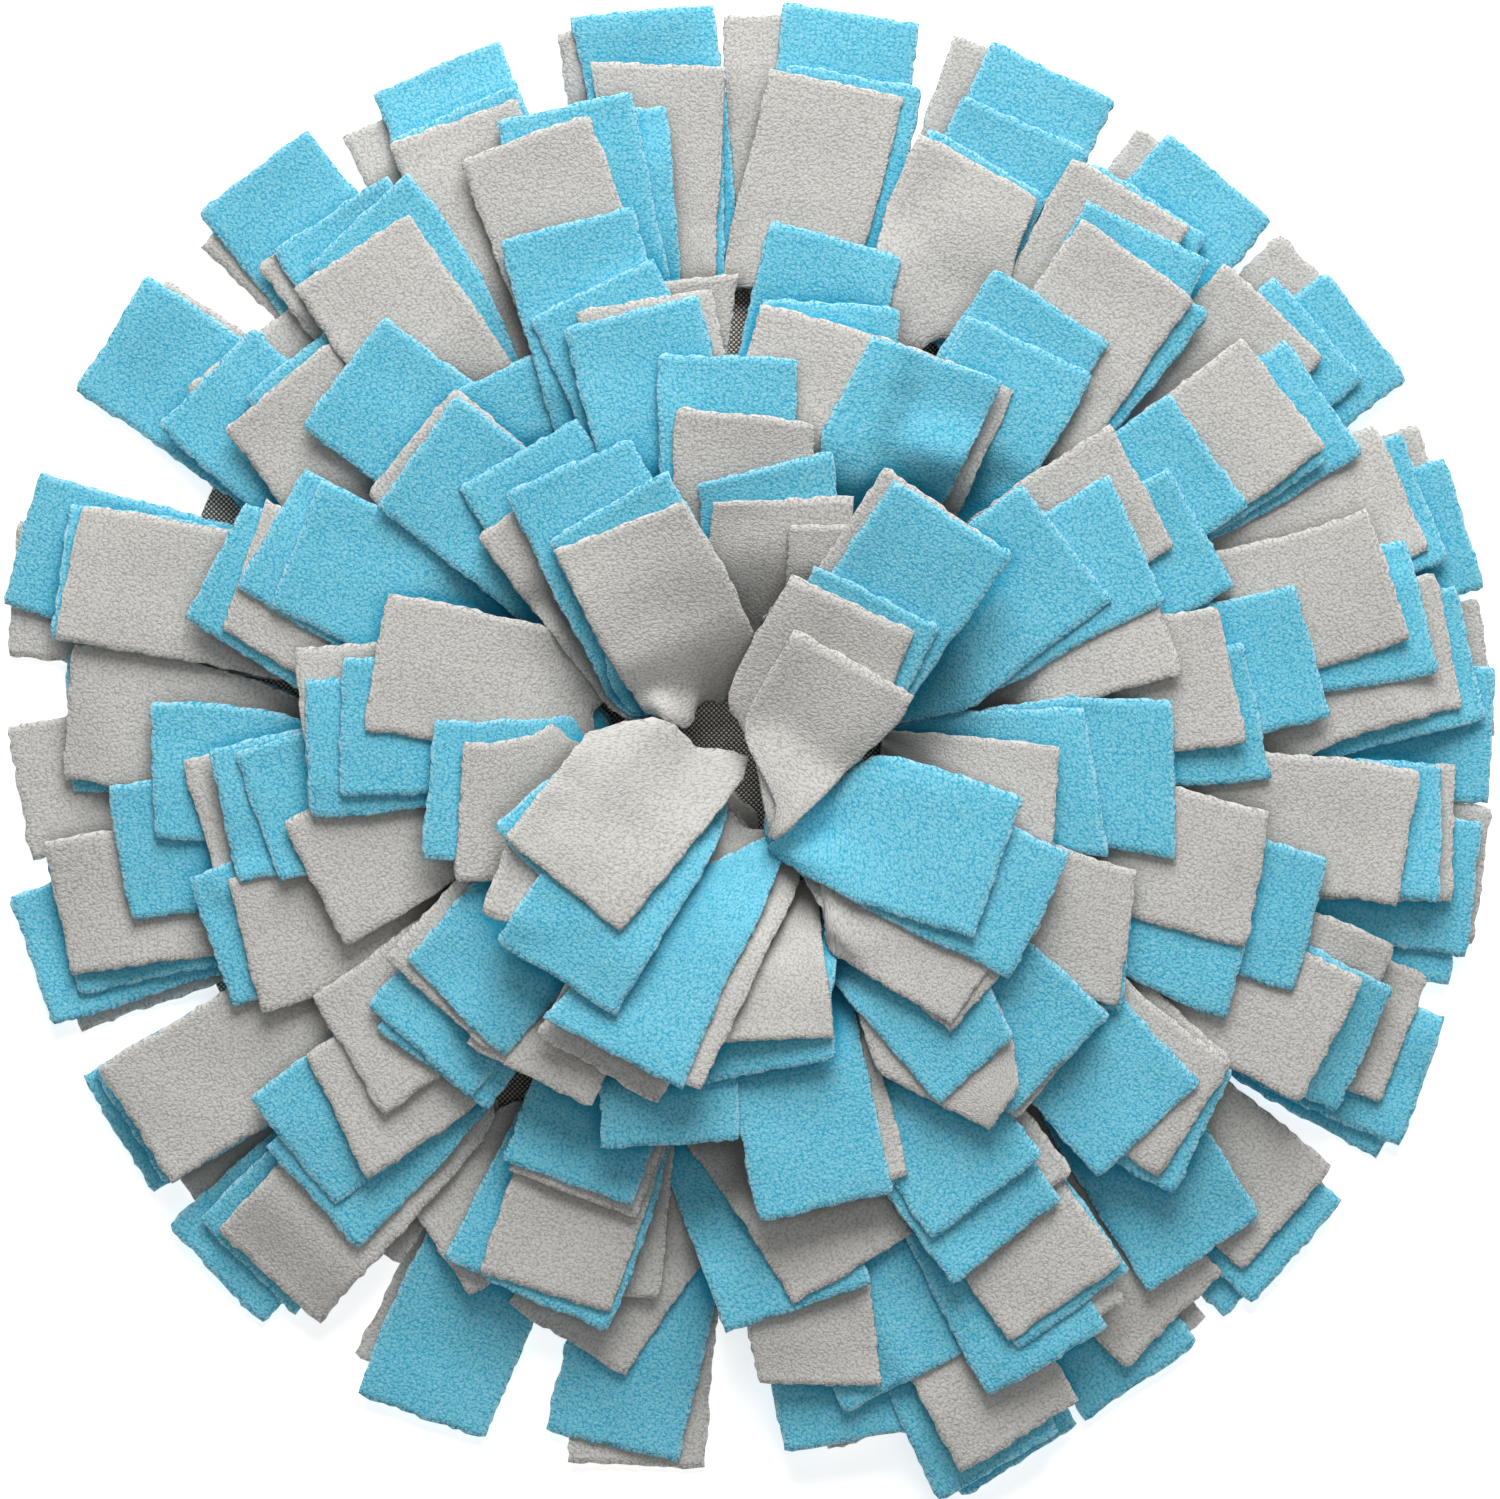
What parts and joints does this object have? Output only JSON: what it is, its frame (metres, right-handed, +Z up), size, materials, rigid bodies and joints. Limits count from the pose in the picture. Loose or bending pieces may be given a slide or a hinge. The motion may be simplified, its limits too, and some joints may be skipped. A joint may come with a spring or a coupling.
{
  "type": "snuffle mat",
  "caption": "Round pet snuffle mat: two-tone fleece flaps gathered in bunches and sewn to a woven cloth disc, lying splayed and overlapping to hide dry treats.",
  "frame": {"origin": "middle of the cloth disc's underside, which lies on the floor", "axes": "+Z up, out of the disc into the flaps; +Y towards the side that is at the top when the mat is seen from straight above"},
  "size_m": [0.4993, 0.4997, 0.0637],
  "materials": {
    "woven_canvas": "coarse woven",
    "blue_fleece": "nubby fleece, matt",
    "grey_fleece": "nubby fleece, matt"
  },
  "bodies": {
    "root": {"backing": "woven_canvas", "rim_01": "grey_fleece", "rim_02": "grey_fleece", "rim_03": "grey_fleece", "rim_04": "grey_fleece", "rim_05": "grey_fleece", "rim_06": "grey_fleece", "rim_07": "grey_fleece", "rim_08": "grey_fleece", "rim_09": "grey_fleece", "rim_10": "blue_fleece", "rim_11": "grey_fleece", "rim_12": "grey_fleece", "rim_13": "grey_fleece", "rim_14": "grey_fleece", "rim_15": "grey_fleece", "rim_16": "grey_fleece", "rim_17": "grey_fleece", "rim_18": "grey_fleece", "rim_19": "grey_fleece", "rim_20": "grey_fleece", "rim_21": "grey_fleece", "rim_22": "grey_fleece", "rim_23": "grey_fleece", "second_01": "grey_fleece", "second_02": "grey_fleece", "second_03": "grey_fleece", "second_04": "grey_fleece", "second_05": "grey_fleece", "second_06": "grey_fleece", "third_01": "blue_fleece", "third_02": "blue_fleece", "third_03": "blue_fleece", "third_04": "blue_fleece", "third_05": "grey_fleece", "third_06": "grey_fleece", "third_07": "grey_fleece", "third_08": "blue_fleece", "third_09": "blue_fleece", "fourth_01": "blue_fleece", "fourth_02": "blue_fleece", "fourth_03": "blue_fleece", "fourth_04": "grey_fleece", "fifth_01": "grey_fleece", "fifth_02": "blue_fleece", "fifth_03": "blue_fleece", "fifth_04": "grey_fleece", "fifth_05": "blue_fleece", "fifth_06": "blue_fleece", "fifth_07": "grey_fleece", "fifth_08": "grey_fleece", "fifth_09": "blue_fleece", "crown_01": "grey_fleece", "crown_02": "blue_fleece", "crown_03": "grey_fleece", "crown_04": "grey_fleece", "middle_01": "blue_fleece", "middle_02": "grey_fleece", "middle_03": "grey_fleece", "middle_04": "grey_fleece"}
  },
  "joints": []
}
